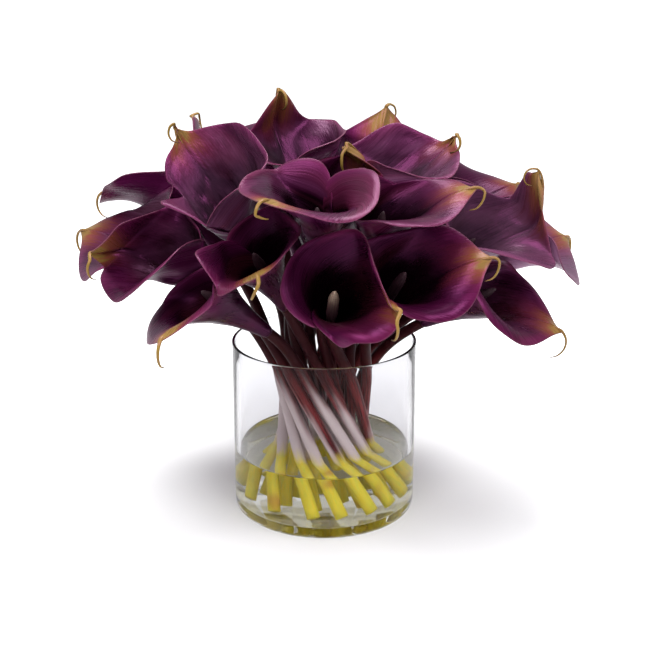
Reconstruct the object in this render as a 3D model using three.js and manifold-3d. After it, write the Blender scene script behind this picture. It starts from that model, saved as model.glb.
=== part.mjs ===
// A bunch of dark purple calla lilies standing in a round glass vase of water.
// Millimetres, +Z up. The origin is the middle of the vase's foot, and -Y is the side that is seen.
import * as THREE from "three";
import { mergeVertices } from "three/addons/utils/BufferGeometryUtils.js";
import Module from "manifold-3d";

const wasm = await Module();
wasm.setup();

// Driving dimensions.
const VASE_RADIUS = 76;
const VASE_HEIGHT = 147;
const VASE_WALL = 4;
const VASE_FLOOR = 9;
const VASE_HEEL = 7;
const WATER_LEVEL = 52;
const CLEARANCE = 0.3;

const STEM_RADIUS = 4.6;
const STEM_FOOT_RADIUS = 5.2;
const STEM_NECK_RADIUS = 3.6;
const STEM_SIDES = 6;

const HEAD_LENGTH = 99;
const HEAD_FOOT_RADIUS = 5.4;
const MOUTH_RADIUS = 45;
const BLADE_THICKNESS = 1.5;

// The bunch is spun: its straight stems pass a narrow waist and spread again to their cut ends. Each ring
// of stems has its radius at the waist and at the feet, and the height where its stems leave the straight.
const WAIST_HEIGHT = 86;
const TWIST_ABOVE_WAIST = 55;
const FOOT_HEIGHT = VASE_FLOOR + 3;
const OUTER = { waist: 34, foot: 54, leave: 112 };
const MIDDLE = { waist: 22, foot: 36, leave: 124 };
const INNER = { waist: 9.5, foot: 16, leave: 134 };

// Where each flower's mouth is, as seen from the middle of the rim: azimuth from +X, height above the
// rim's plane, and distance. tip is the way its point lies, turned from straight down to the right. A
// flower may be larger or smaller than the rest, open wider, have its lap skewed to one side, its margins
// curled or its back leant, and its head may turn or lift from the way it would look.
const OWN = { size: 1, turn: 0, lift: 0, open: 1, skew: 0, curlLeft: 0, curlRight: 0, rear: 0 };
const lily = (name, ring, azimuth, height, reach, tip, more) => {
  return { name, ring, azimuth, height, reach, tip, ...OWN, ...more };
};
const FLOWERS = [
  lily("front_centre", OUTER, -86, 34, 164, 62, { size: 0.91, skew: 85, curlLeft: 10 }),
  lily("front_left", OUTER, -118, 43, 174, 42, { size: 0.92, skew: 30, curlRight: 25, rear: -12 }),
  lily("left_low", OUTER, -137, 29, 168, 42, { size: 0.88, turn: -12, curlLeft: 10 }),
  lily("left_front", OUTER, -152, 36, 183, -60, { size: 0.97, curlRight: 15 }),
  lily("left_middle", OUTER, -176, 34, 199, -50, { size: 1.04 }),
  lily("left_back", OUTER, 166, 44, 206, -20),
  lily("right_middle", OUTER, -60, 37, 166, 76, { size: 0.84, lift: 4, curlLeft: 20, skew: 45 }),
  lily("right_low", OUTER, -16, 22, 170, 18, { size: 0.84, turn: -6, curlLeft: 35, curlRight: -25 }),
  lily("right_far", OUTER, 8, 27, 216, 50),
  lily("right_back", MIDDLE, 20, 44, 200, 36, { turn: -10 }),
  lily("right_centre", MIDDLE, -59, 57, 176, 62, { lift: 6, skew: 30, curlLeft: 10, size: 0.9 }),
  lily("right_shoulder", MIDDLE, -9, 38, 184, 62, { size: 1.02, turn: -26, open: 1.2 }),
  lily("centre_top", MIDDLE, -93, 58, 193, -28, { lift: 7, curlLeft: 20 }),
  lily("centre_right", INNER, -75, 69, 162, 130, { size: 0.82 }),
  lily("upper_left", MIDDLE, -146, 54, 190, -108, { size: 1.06, lift: -6, skew: -50, curlRight: 30 }),
  lily("top_centre", INNER, -138, 82, 184, -95, { size: 0.91, skew: -50, curlRight: 30, rear: 18 }),
  lily("upper_right", INNER, -16, 71, 178, 44, { size: 0.96 }),
  lily("top_right", INNER, 50, 63, 172, -146),
  lily("top_left", MIDDLE, 146, 66, 194, 8, { size: 1.08 }),
  lily("back_left", OUTER, 128, 30, 176, 40),
  lily("back_centre", OUTER, 96, 28, 176, -60),
  lily("back_right", OUTER, 54, 28, 178, 60),
  lily("back_high_left", MIDDLE, 112, 52, 180, -40),
  lily("back_high_right", MIDDLE, 74, 48, 180, 80),
];

const radians = THREE.MathUtils.degToRad;
const vector = (x, y, z) => new THREE.Vector3(x, y, z);
const direction = (azimuth, height) =>
  vector(
    Math.cos(radians(height)) * Math.cos(radians(azimuth)),
    Math.cos(radians(height)) * Math.sin(radians(azimuth)),
    Math.sin(radians(height)),
  );

// The frame of a flower's head: its foot on the stem, its axis towards the mouth, and its tip's side.
const RIM_CENTRE = vector(0, 0, VASE_HEIGHT);
const AXIS_LIFT = 9;
function placeHead(flower) {
  const { azimuth, height, reach, tip, size, turn, lift } = flower;
  const mouth = RIM_CENTRE.clone().addScaledVector(direction(azimuth, height), reach);
  const rise = AXIS_LIFT * Math.cos(radians(height)) + lift;
  const axis = direction(azimuth + turn, height + rise);
  const down = vector(0, 0, -1).projectOnPlane(axis).normalize();
  const tipSide = down.applyAxisAngle(axis, radians(tip));
  const across = axis.clone().cross(tipSide);
  const foot = mouth.clone().addScaledVector(axis, -HEAD_LENGTH * size);
  return { foot, axis, tipSide, across, size };
}

// Stems of one ring keep the order of their heads, and stand part way between there and an even spacing.
const EVENNESS = 0.4;
function placeStems(flowers) {
  for (const ring of [OUTER, MIDDLE, INNER]) {
    const members = flowers.filter((f) => f.ring === ring).sort((a, b) => a.azimuth - b.azimuth);
    const step = 360 / members.length;
    const start = members.reduce((sum, f, i) => sum + f.azimuth - i * step, 0) / members.length;
    members.forEach((f, i) => {
      const even = start + i * step;
      f.waistAzimuth = f.azimuth + EVENNESS * (even - f.azimuth) + TWIST_ABOVE_WAIST;
    });
  }
}

// A point of a stem's straight part: the rulings of a hyperboloid never meet.
function onRuling(flower, z) {
  const { waist, foot } = flower.ring;
  const slope = Math.sqrt(foot ** 2 - waist ** 2) / (WAIST_HEIGHT - FOOT_HEIGHT);
  const out = direction(flower.waistAzimuth, 0);
  const along = direction(flower.waistAzimuth + 90, 0);
  return out
    .multiplyScalar(waist)
    .addScaledVector(along, (WAIST_HEIGHT - z) * slope)
    .setZ(z);
}

const BEND_STEPS = 6;
const BEND_REACH = 0.38;
function stemLine(flower) {
  const { foot, axis } = flower.head;
  const { leave } = flower.ring;
  const start = onRuling(flower, leave);
  const heading = start.clone().sub(onRuling(flower, leave - 10)).normalize();
  const span = start.distanceTo(foot);
  const bend = new THREE.CubicBezierCurve3(
    start,
    start.clone().addScaledVector(heading, BEND_REACH * span),
    foot.clone().addScaledVector(axis, -BEND_REACH * span),
    foot,
  );
  return [onRuling(flower, FOOT_HEIGHT), onRuling(flower, WAIST_HEIGHT), ...bend.getPoints(BEND_STEPS)];
}

// Half the outline of the room one head takes, as distance from its axis and height over its foot.
const HEAD_OUTLINE = [
  [0, -4],
  [6, -2],
  [9, 16],
  [17, 48],
  [26, 68],
  [37, 83],
  [MOUTH_RADIUS, 93],
  [34, 104],
  [0, 110],
];

function toSegment(px, py, [ax, ay], [bx, by]) {
  const dx = bx - ax;
  const dy = by - ay;
  const t = THREE.MathUtils.clamp(((px - ax) * dx + (py - ay) * dy) / (dx * dx + dy * dy), 0, 1);
  return [px - ax - t * dx, py - ay - t * dy];
}

// How far a point lies outside the room of a head, less than 0 inside it, and the way out.
function outsideHead(point, head) {
  const local = point.clone().sub(head.foot);
  const z = local.dot(head.axis) / head.size;
  const side = local.clone().addScaledVector(head.axis, -z * head.size);
  const r = side.length() / head.size;
  side.normalize();
  let nearest = [1e6, 1e6];
  let inside = false;
  for (let i = 0; i + 1 < HEAD_OUTLINE.length; i++) {
    const [a, b] = [HEAD_OUTLINE[i], HEAD_OUTLINE[i + 1]];
    const gap = toSegment(r, z, a, b);
    if (Math.hypot(...gap) < Math.hypot(...nearest)) nearest = gap;
    if (a[1] <= z && z < b[1]) inside = r < a[0] + ((b[0] - a[0]) * (z - a[1])) / (b[1] - a[1]);
  }
  const size = Math.hypot(...nearest) || 1e-6;
  const sign = inside ? -1 : 1;
  const [outward, along] = nearest.map((part) => (sign * part) / size);
  const way = side.multiplyScalar(outward).addScaledVector(head.axis, along);
  return { distance: sign * size * head.size, way };
}

function outsideStem(point, line) {
  let best = { distance: 1e6, way: null };
  for (let i = 0; i + 1 < line.length; i++) {
    const nearest = new THREE.Line3(line[i], line[i + 1]).closestPointToPoint(point, true, vector(0, 0, 0));
    const distance = point.distanceTo(nearest) - STEM_FOOT_RADIUS;
    if (distance < best.distance) best = { distance, way: point.clone().sub(nearest).normalize() };
  }
  return best;
}

function outsideVase(point) {
  const r = Math.hypot(point.x, point.y);
  const inner = VASE_RADIUS - VASE_WALL;
  const dr = r - THREE.MathUtils.clamp(r, inner, VASE_RADIUS);
  const dz = Math.max(point.z - VASE_HEIGHT, 0);
  const distance = Math.hypot(dr, dz);
  if (distance === 0) return { distance: -1, way: vector(0, 0, 1) };
  return { distance, way: vector((point.x / r) * dr, (point.y / r) * dr, dz).divideScalar(distance) };
}

// A petal keeps to its own share of the space: where it would cross a neighbour, a stem or the rim, it
// bends clear, a little in each round. The softness is the width over which the bend begins.
const PETAL_GAP = 4;
const STEM_GAP = 3;
const RIM_GAP = 2;
const PETAL_SOFTNESS = 2;
const CLEARING_ROUNDS = 14;
const CLEARING_RATE = 0.6;
function bendClear(point, flower, flowers) {
  const moved = point.clone();
  for (let round = 0; round < CLEARING_ROUNDS; round++) {
    const own = outsideHead(moved, flower.head);
    const push = (other, gap, shared) => {
      const lack = gap + (shared ? own.distance : 0) - other.distance;
      if (lack < -PETAL_SOFTNESS) return;
      const amount = lack < PETAL_SOFTNESS ? (lack + PETAL_SOFTNESS) ** 2 / (4 * PETAL_SOFTNESS) : lack;
      const way = other.way.clone();
      if (shared) way.sub(own.way);
      const gain = Math.max(way.length(), 0.5);
      moved.addScaledVector(way.normalize(), (CLEARING_RATE * amount) / gain);
    };
    for (const other of flowers) {
      if (other === flower) continue;
      push(outsideHead(moved, other.head), PETAL_GAP, true);
      push(outsideStem(moved, other.line), STEM_GAP, true);
    }
    push(outsideVase(moved), RIM_GAP, false);
  }
  return moved;
}

// The blade of a calla lily is one leaf, rolled into a funnel. theta is 0 at its tip and half a turn at
// the front, where one edge laps over the other in a notch, and t is the distance from its foot, along it.
const FRONT_BLADE = 88;
const BACK_BLADE = 114;
const CUSP = 19;
const CUSP_WIDTH = 0.34;
const SPIKE_WIDTH = 0.09;
const NOTCH = 18;
const NOTCH_WIDTH = 0.6;
function bladeLength(theta) {
  const away = Math.abs(theta);
  const back = ((1 + Math.cos(theta)) / 2) ** 0.9;
  const cusp = (CUSP / 2) * (Math.exp(-away / CUSP_WIDTH) + Math.exp(-away / SPIKE_WIDTH));
  const notch = NOTCH * Math.exp(-(Math.PI - away) / NOTCH_WIDTH);
  return THREE.MathUtils.lerp(FRONT_BLADE, BACK_BLADE, back) + cusp - notch;
}

// Degrees that the blade leans out from the head's axis: a narrow tube, then a flare up to the rim, with
// slow waves at the sides, a droop at the tip, and a rim that rolls outward.
const FUNNEL_FROM = 50;
const FOOT_LEAN = 7;
const TUBE_LEAN = 15;
const FLARE = 38;
const SIDE_FLARE = 24;
const WAVE = 10;
const SLOW_WAVE = 10;
const TIP_DROOP = 20;
const TIP_WIDTH = 0.4;
const REAR_WIDTH = 0.9;
const DROOP_FROM = 0.7;
const RIM_ROLL = 16;
const SHOULDER_ROLL = 26;
const SHOULDER = 0.78;
const SHOULDER_WIDTH = 0.4;
const hill = (place, width) => Math.exp(-((place / width) ** 2));
function bladeAngle(theta, t, flower) {
  const side = Math.sin(theta) ** 2;
  const tube = FOOT_LEAN + TUBE_LEAN * Math.min(t / FUNNEL_FROM, 1);
  const share = THREE.MathUtils.clamp((t - FUNNEL_FROM) / (bladeLength(theta) - FUNNEL_FROM), 0, 1);
  const flare = (FLARE + SIDE_FLARE * side) * flower.open * share ** 1.3;
  const waves =
    WAVE * Math.sin(3 * theta + flower.azimuth) + SLOW_WAVE * Math.sin(2 * theta + 1.3 * flower.azimuth);
  const nearTip = hill(theta, TIP_WIDTH);
  const rim = Math.max(share - DROOP_FROM, 0) / (1 - DROOP_FROM);
  const droop = TIP_DROOP * nearTip * rim + flower.rear * hill(theta, REAR_WIDTH) * share;
  const curl = (theta < 0 ? flower.curlLeft : flower.curlRight) * Math.sin(theta / 2) ** 2 * side;
  const shoulders = SHOULDER_ROLL * hill(Math.abs(theta) - SHOULDER, SHOULDER_WIDTH);
  const roll = (RIM_ROLL * (0.3 + 0.7 * side) + shoulders + 2 * curl) * rim ** 1.3 * (1 - nearTip);
  return radians(tube + flare + waves * side * share + droop + roll);
}

const PROFILE_STEPS = 12;
function bladeProfile(theta, shares, flower) {
  const points = [];
  const { size } = flower.head;
  let [rho, z, t] = [0, 0, 0];
  for (const share of shares) {
    const dt = (share * bladeLength(theta) - t) / PROFILE_STEPS;
    for (let i = 0; i < PROFILE_STEPS && dt > 0; i++) {
      const angle = bladeAngle(theta, t + dt / 2, flower);
      rho += size * Math.sin(angle) * dt;
      z += size * Math.cos(angle) * dt;
      t += dt;
    }
    points.push([HEAD_FOOT_RADIUS + rho, z]);
  }
  return points;
}

const COLUMNS = [-1, -0.87, -0.72, -0.56, -0.4, -0.24, -0.1, 0, 0.1, 0.24, 0.4, 0.56, 0.72, 0.87, 1];
const ROWS = [0, 0.34, 0.6, 0.78, 0.91, 1];

// At the front the edges just meet at the foot, and higher up one laps over the other, by these shares of
// half a turn. It stands this far clear.
const LAP_AT_FOOT = -0.02;
const LAP_AT_RIM = 0.02;
const LAP_RISE = 1.5;
const LAP_RISE_AT_FOOT = 0.35;

function inHead(flower, theta, rho, z) {
  const { foot, axis, tipSide, across } = flower.head;
  return foot
    .clone()
    .addScaledVector(axis, z)
    .addScaledVector(tipSide, rho * Math.cos(theta))
    .addScaledVector(across, rho * Math.sin(theta));
}

function bladeGrid(flower, flowers) {
  return COLUMNS.map((u) => {
    const profile = bladeProfile(Math.PI * u, ROWS, flower);
    return ROWS.map((s, row) => {
      const skew = radians(flower.skew) * Math.sin((Math.PI / 2) * u) ** 2 * s;
      const theta = Math.PI * u * (1 + LAP_AT_FOOT + (LAP_AT_RIM - LAP_AT_FOOT) * s) + skew;
      const lap = LAP_RISE * u ** 3 * THREE.MathUtils.lerp(LAP_RISE_AT_FOOT, 1, s);
      const [rho, z] = profile[row];
      return bendClear(inHead(flower, theta, rho + lap, z), flower, flowers);
    });
  });
}

// A closed sheet of the blade's thickness round its grid of middle points.
function sheetGeometry(grid, thickness) {
  const columns = grid.length;
  const rows = grid[0].length;
  const position = [];
  const index = [];
  const at = (side, i, j) => (side * columns + i) * rows + j;
  const clampTo = (k, n) => THREE.MathUtils.clamp(k, 0, n - 1);
  for (const side of [0.5, -0.5])
    for (let i = 0; i < columns; i++)
      for (let j = 0; j < rows; j++) {
        const alongU = grid[clampTo(i + 1, columns)][j].clone().sub(grid[clampTo(i - 1, columns)][j]);
        const alongS = grid[i][clampTo(j + 1, rows)].clone().sub(grid[i][clampTo(j - 1, rows)]);
        const normal = alongU.cross(alongS).normalize();
        position.push(...grid[i][j].clone().addScaledVector(normal, side * thickness).toArray());
      }
  const quad = (a, b, c, d) => index.push(a, b, c, a, c, d);
  for (let i = 0; i + 1 < columns; i++)
    for (let j = 0; j + 1 < rows; j++) {
      quad(at(0, i, j), at(0, i + 1, j), at(0, i + 1, j + 1), at(0, i, j + 1));
      const [a, b, c, d] = [at(1, i, j), at(1, i + 1, j), at(1, i + 1, j + 1), at(1, i, j + 1)];
      index.push(a, c, b, a, d, c);
    }
  for (let i = 0; i + 1 < columns; i++) {
    quad(at(1, i, 0), at(1, i + 1, 0), at(0, i + 1, 0), at(0, i, 0));
    const last = rows - 1;
    quad(at(0, i, last), at(0, i + 1, last), at(1, i + 1, last), at(1, i, last));
  }
  for (let j = 0; j + 1 < rows; j++) {
    quad(at(0, 0, j), at(0, 0, j + 1), at(1, 0, j + 1), at(1, 0, j));
    const last = columns - 1;
    quad(at(1, last, j), at(1, last, j + 1), at(0, last, j + 1), at(0, last, j));
  }
  return indexed(position, index);
}

function indexed(position, index) {
  const geometry = new THREE.BufferGeometry();
  geometry.setAttribute("position", new THREE.Float32BufferAttribute(position, 3));
  geometry.setIndex(index);
  return geometry;
}

// A closed tube along a line of points, with a radius at each, or a width across and a thickness.
function tubeGeometry(points, radii, sides, flatness = 1, wideWay = null) {
  const position = [];
  const index = [];
  let previous = null;
  points.forEach((point, k) => {
    const ahead = points[Math.min(k + 1, points.length - 1)];
    const behind = points[Math.max(k - 1, 0)];
    const heading = ahead.clone().sub(behind).normalize();
    const start = previous ?? wideWay ?? (Math.abs(heading.z) > 0.9 ? vector(1, 0, 0) : vector(0, 0, 1));
    const wide = start.clone().projectOnPlane(heading).normalize();
    const thick = heading.clone().cross(wide);
    previous = wide;
    for (let i = 0; i < sides; i++) {
      const angle = (2 * Math.PI * i) / sides;
      const corner = point
        .clone()
        .addScaledVector(wide, radii[k] * Math.cos(angle))
        .addScaledVector(thick, flatness * radii[k] * Math.sin(angle));
      position.push(...corner.toArray());
    }
  });
  for (let k = 0; k + 1 < points.length; k++)
    for (let i = 0; i < sides; i++) {
      const [a, b] = [k * sides + i, k * sides + ((i + 1) % sides)];
      index.push(a, b, b + sides, a, b + sides, a + sides);
    }
  const last = (points.length - 1) * sides;
  for (let i = 1; i + 1 < sides; i++) {
    index.push(0, i + 1, i);
    index.push(last, last + i, last + i + 1);
  }
  return indexed(position, index);
}

function toSolid(geometry) {
  const bare = new THREE.BufferGeometry().setAttribute("position", geometry.getAttribute("position"));
  bare.setIndex(geometry.getIndex());
  const merged = mergeVertices(bare, 1e-4);
  return new wasm.Manifold(
    new wasm.Mesh({
      numProp: 3,
      vertProperties: new Float32Array(merged.getAttribute("position").array),
      triVerts: new Uint32Array(merged.getIndex().array),
    }),
  );
}

function toGeometry(solid) {
  const mesh = solid.getMesh();
  return indexed(Array.from(mesh.vertProperties), Array.from(mesh.triVerts));
}

// The tip runs out into a thin tail that droops and hooks back under.
const TAIL_STEPS = 5;
const TAIL_STEP = 5.5;
const TAIL_ROOT = 2.6;
const TAIL_END = 0.6;
const TAIL_HOOK = 75;
const TAIL_SINK = 7;
const TAIL_FLATNESS = 0.7;
function tailGeometry(flower, flowers, grid) {
  const middle = grid[(COLUMNS.length - 1) / 2];
  const edge = middle[middle.length - 1];
  const inner = middle[middle.length - 2];
  const heading = edge.clone().sub(inner).normalize();
  const level = heading.clone().setZ(0).normalize();
  const hinge = level.cross(vector(0, 0, -1));
  const droop = Math.asin(heading.z) + radians(90 + TAIL_HOOK);
  const points = [-TAIL_SINK, -1].map((back) => edge.clone().addScaledVector(heading, back));
  for (let k = 0; k < TAIL_STEPS; k++) {
    heading.applyAxisAngle(hinge, droop / TAIL_STEPS);
    const next = points[points.length - 1].clone().addScaledVector(heading, TAIL_STEP);
    points.push(bendClear(next, flower, flowers));
  }
  const radii = points.map((_, k) => TAIL_ROOT + ((TAIL_END - TAIL_ROOT) * k) / (points.length - 1));
  return tubeGeometry(points, radii, 4, TAIL_FLATNESS, hinge);
}

// The stem ends in the spadix, which stands free in the funnel: height over the head's foot, and radius.
const SPADIX = [
  [0, STEM_NECK_RADIUS],
  [14, 3.4],
  [28, 4.3],
  [56, 3.9],
  [66, 2.7],
  [70, 0.8],
];
function stemGeometry(flower) {
  const { foot, axis } = flower.head;
  const stem = flower.line.slice(0, -1);
  const spadix = SPADIX.map(([z]) => foot.clone().addScaledVector(axis, z));
  const stemRadii = stem.map((_, k) => (k === 0 ? STEM_FOOT_RADIUS : STEM_RADIUS));
  const spadixRadii = SPADIX.map(([, radius]) => radius);
  return tubeGeometry([...stem, ...spadix], [...stemRadii, ...spadixRadii], STEM_SIDES);
}

const ROUND_SIDES = 48;
const turned = (profile) =>
  new THREE.LatheGeometry(
    profile.map(([r, z]) => new THREE.Vector2(r, z)),
    ROUND_SIDES,
  ).rotateX(Math.PI / 2);

const HEEL_BEVEL = 0.3;
const FLOOR_BEVEL = 3;
function vaseGeometry() {
  const inner = VASE_RADIUS - VASE_WALL;
  const profile = [
    [0, 0],
    [VASE_RADIUS - VASE_HEEL, 0],
    [VASE_RADIUS - HEEL_BEVEL * VASE_HEEL, HEEL_BEVEL * VASE_HEEL],
    [VASE_RADIUS, VASE_HEEL],
    [VASE_RADIUS, VASE_HEIGHT - VASE_WALL / 2],
    [VASE_RADIUS - VASE_WALL / 2, VASE_HEIGHT],
    [inner, VASE_HEIGHT - VASE_WALL / 2],
    [inner, VASE_FLOOR + FLOOR_BEVEL],
    [inner - FLOOR_BEVEL, VASE_FLOOR],
    [0, VASE_FLOOR],
  ];
  return turned(profile);
}

// The water fills the vase up to its level, round the stems.
const HOLE_RADIUS = STEM_FOOT_RADIUS + 2 * CLEARANCE;
function waterGeometry(flowers) {
  const radius = VASE_RADIUS - VASE_WALL - CLEARANCE;
  const bottom = VASE_FLOOR + CLEARANCE;
  const profile = [
    [0, bottom],
    [radius - FLOOR_BEVEL, bottom],
    [radius, bottom + FLOOR_BEVEL],
    [radius, WATER_LEVEL],
    [0, WATER_LEVEL],
  ];
  let water = toSolid(turned(profile));
  for (const flower of flowers) {
    const ends = [onRuling(flower, 0), onRuling(flower, WATER_LEVEL + 10)];
    const hole = tubeGeometry(ends, [HOLE_RADIUS, HOLE_RADIUS], STEM_SIDES);
    water = water.subtract(toSolid(hole));
  }
  return toGeometry(water);
}

const finishes = {
  glass: new THREE.MeshStandardMaterial({ color: 0xe8efec, roughness: 0.03, metalness: 0 }),
  water: new THREE.MeshStandardMaterial({ color: 0xe6ecd8, roughness: 0.02, metalness: 0 }),
  petal: new THREE.MeshStandardMaterial({ color: 0x4a1a3e, roughness: 0.45, metalness: 0 }),
  stem: new THREE.MeshStandardMaterial({ color: 0x5c2b28, roughness: 0.5, metalness: 0 }),
};

function piece(name, geometry, finish) {
  const mesh = new THREE.Mesh(geometry, finish);
  mesh.name = name;
  return mesh;
}

for (const flower of FLOWERS) flower.head = placeHead(flower);
placeStems(FLOWERS);
for (const flower of FLOWERS) flower.line = stemLine(flower);

const filledVase = new THREE.Group();
filledVase.add(piece("vase", vaseGeometry(), finishes.glass));
filledVase.add(piece("water", waterGeometry(FLOWERS), finishes.water));

const bouquet = new THREE.Group();
bouquet.add(filledVase);
for (const flower of FLOWERS) {
  const grid = bladeGrid(flower, FLOWERS);
  const blade = toSolid(sheetGeometry(grid, BLADE_THICKNESS));
  const tail = toSolid(tailGeometry(flower, FLOWERS, grid));
  const lily = new THREE.Group();
  lily.add(piece("stem_" + flower.name, stemGeometry(flower), finishes.stem));
  lily.add(piece("spathe_" + flower.name, toGeometry(blade.add(tail)), finishes.petal));
  bouquet.add(lily);
}

export default bouquet;
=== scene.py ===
# A bunch of dark purple calla lilies, spun at the waist, stands in a round clear glass vase of water.
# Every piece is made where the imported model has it, and -Y is the side that the camera sees.
from types import SimpleNamespace

import bpy
import numpy as np
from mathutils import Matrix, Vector


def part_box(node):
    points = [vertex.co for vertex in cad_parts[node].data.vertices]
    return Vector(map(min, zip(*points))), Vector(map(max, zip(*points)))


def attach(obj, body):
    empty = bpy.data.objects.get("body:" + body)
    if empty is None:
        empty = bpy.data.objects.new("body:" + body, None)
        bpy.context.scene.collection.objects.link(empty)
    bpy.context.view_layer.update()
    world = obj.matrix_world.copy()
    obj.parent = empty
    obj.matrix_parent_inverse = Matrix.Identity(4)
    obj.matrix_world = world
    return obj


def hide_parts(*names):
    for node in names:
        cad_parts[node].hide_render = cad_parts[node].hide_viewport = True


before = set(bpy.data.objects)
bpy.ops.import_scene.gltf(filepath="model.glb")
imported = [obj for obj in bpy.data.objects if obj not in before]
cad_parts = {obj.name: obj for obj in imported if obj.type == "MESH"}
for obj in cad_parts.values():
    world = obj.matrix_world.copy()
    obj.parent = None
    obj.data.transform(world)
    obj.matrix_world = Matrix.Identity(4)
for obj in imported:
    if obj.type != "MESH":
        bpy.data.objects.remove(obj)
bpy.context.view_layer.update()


# The vase is clear soda glass: a straight round wall that thins towards its fire-polished lip, and a
# thick floor with a rounded heel that it stands on. Its radius and height are those of the frame's vase.
MM = 0.001
VASE_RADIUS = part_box("vase")[1].x / MM
VASE_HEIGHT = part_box("vase")[1].z / MM
VASE_WALL = 4.0
VASE_FLOOR = 9.0
HEEL = 7.0
FILLET = 4.0
LIP = 0.8
LIP_WALL = 2.4
TAPER = 14.0
KICK = 0.7
HOLD = 0.6
VASE_SIDES = 160
GLASS_TINT = (0.87, 0.87, 0.885, 1)
THROUGH_TINT = (0.96, 0.965, 0.96, 1)
CLEAR_SHEEN = (0.25, 0.25, 0.25, 1)
GLASS_INDEX = 1.28
GLASS_WAVES = 14
GLASS_WAVE_DEPTH = 0.15


class Wire:
    """An output of a node. Arithmetic on it adds Math nodes, and node() adds a node of any other type."""

    def __init__(self, tree, output=None):
        self.tree = tree
        self.output = output

    def node(self, kind, settings=None, inputs=None, output=0):
        made = self.tree.nodes.new("ShaderNode" + kind)
        for name, value in (settings or {}).items():
            if name == "stops":
                fill_ramp(made.color_ramp, value)
            else:
                setattr(made, name, value)
        for name, value in (inputs or {}).items():
            if isinstance(value, Wire):
                self.tree.links.new(value.output, made.inputs[name])
            else:
                made.inputs[name].default_value = value
        return Wire(self.tree, made.outputs[output] if made.outputs else None)

    def math(self, operation, *values):
        return self.node("Math", {"operation": operation}, dict(enumerate(values)))

    def __add__(self, other):
        return self.math("ADD", self, other)

    def __sub__(self, other):
        return self.math("SUBTRACT", self, other)

    def __rsub__(self, other):
        return self.math("SUBTRACT", other, self)

    def __mul__(self, other):
        return self.math("MULTIPLY", self, other)

    def eased(self, low, high, to_low=0.0, to_high=1.0):
        """This value eased from to_low where it is low to to_high where it is high."""
        ends = {0: self, 1: low, 2: high, 3: to_low, 4: to_high}
        return self.node("MapRange", {"interpolation_type": "SMOOTHSTEP"}, ends)

    def colours(self, *stops):
        """The colour that a ramp of (place, colour) stops has at this value."""
        return self.node("ValToRGB", {"stops": stops}, {0: self})

    def blend(self, colour, other):
        """One colour where this value is 0, and the other where it is 1."""
        return self.node("Mix", {"data_type": "RGBA"}, {0: self, 6: colour, 7: other}, 2)

    def parts(self):
        """The three numbers of this vector."""
        made = self.node("SeparateXYZ", {}, {0: self}).output.node
        return [Wire(self.tree, output) for output in made.outputs]

    def noise(self, scale=1.0, detail=2.0, roughness=0.5):
        """A noise about 0.5 over this vector."""
        sizes = {"Vector": self, "Scale": scale, "Detail": detail, "Roughness": roughness}
        return self.node("TexNoise", {}, sizes)

    def attribute(self, name, output="Vector"):
        return self.node("Attribute", {"attribute_name": name}, {}, output)

    def vector(self, x, y, z):
        return self.node("CombineXYZ", {}, {0: x, 1: y, 2: z})

    def bump(self, height, depth, strength=1.0):
        """The surface's way, roughened by a height from 0 to 1 that stands for a depth in millimetres."""
        return self.node("Bump", {}, {"Strength": strength, "Distance": depth * MM, "Height": height})


def fill_ramp(ramp, stops):
    ramp.interpolation = "EASE"
    while len(ramp.elements) < len(stops):
        ramp.elements.new(1.0)
    for element, (place, colour) in zip(ramp.elements, stops):
        element.position = place
        element.color = (*colour[:3], 1)


def new_finish(name):
    material = bpy.data.materials.new(name)
    material.use_nodes = True
    material.node_tree.nodes.clear()
    return material, Wire(material.node_tree)


def clear_finish(name, tint, index, wave_depth):
    """A clear solid that bends what is seen through it, and lets light straight in to what it holds."""
    material, wire = new_finish(name)
    waves = wire.node("TexCoord", output="Object").noise(GLASS_WAVES, 1)
    sockets = {
        "Base Color": tint,
        "Roughness": 0.0,
        "IOR": index,
        "Transmission Weight": 1.0,
        "Specular Tint": CLEAR_SHEEN,
        "Normal": wire.bump(waves, wave_depth),
    }
    solid = wire.node("BsdfPrincipled", {}, sockets)
    through = wire.node("BsdfTransparent", {}, {"Color": THROUGH_TINT})
    surface = solid
    for ray in ("Is Diffuse Ray", "Is Shadow Ray"):
        straight = wire.node("LightPath", output=ray)
        surface = wire.node("MixShader", {}, {0: straight, 1: surface, 2: through})
    wire.node("OutputMaterial", {}, {"Surface": surface})
    return material


def arc(centre, radius, start, end, steps=8):
    angles = np.radians(np.linspace(start, end, steps))
    return [(centre[0] + radius * np.cos(a), centre[1] + radius * np.sin(a)) for a in angles]


def joined_rings(count, sides):
    """Faces that join rings of points, one after another, and close the ends on two last points."""
    faces = []
    end = count * sides
    for i in range(sides):
        j = (i + 1) % sides
        for k in range(0, end - sides, sides):
            faces.append((k + i, k + j, k + j + sides, k + i + sides))
        faces.append((end, j, i))
        faces.append((end + 1, end - sides + i, end - sides + j))
    return faces


def spun_profile(profile, sides):
    """A profile of (radius, height) spun about Z. Its first and last points are on the axis."""
    spin = np.linspace(0, 2 * np.pi, sides, endpoint=False)
    rings = [np.stack([r * np.cos(spin), r * np.sin(spin), z + 0 * spin], 1) for r, z in profile[1:-1]]
    ends = [[0, 0, profile[0][1]], [0, 0, profile[-1][1]]]
    return np.vstack([*rings, ends]), joined_rings(len(rings), sides)


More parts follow.
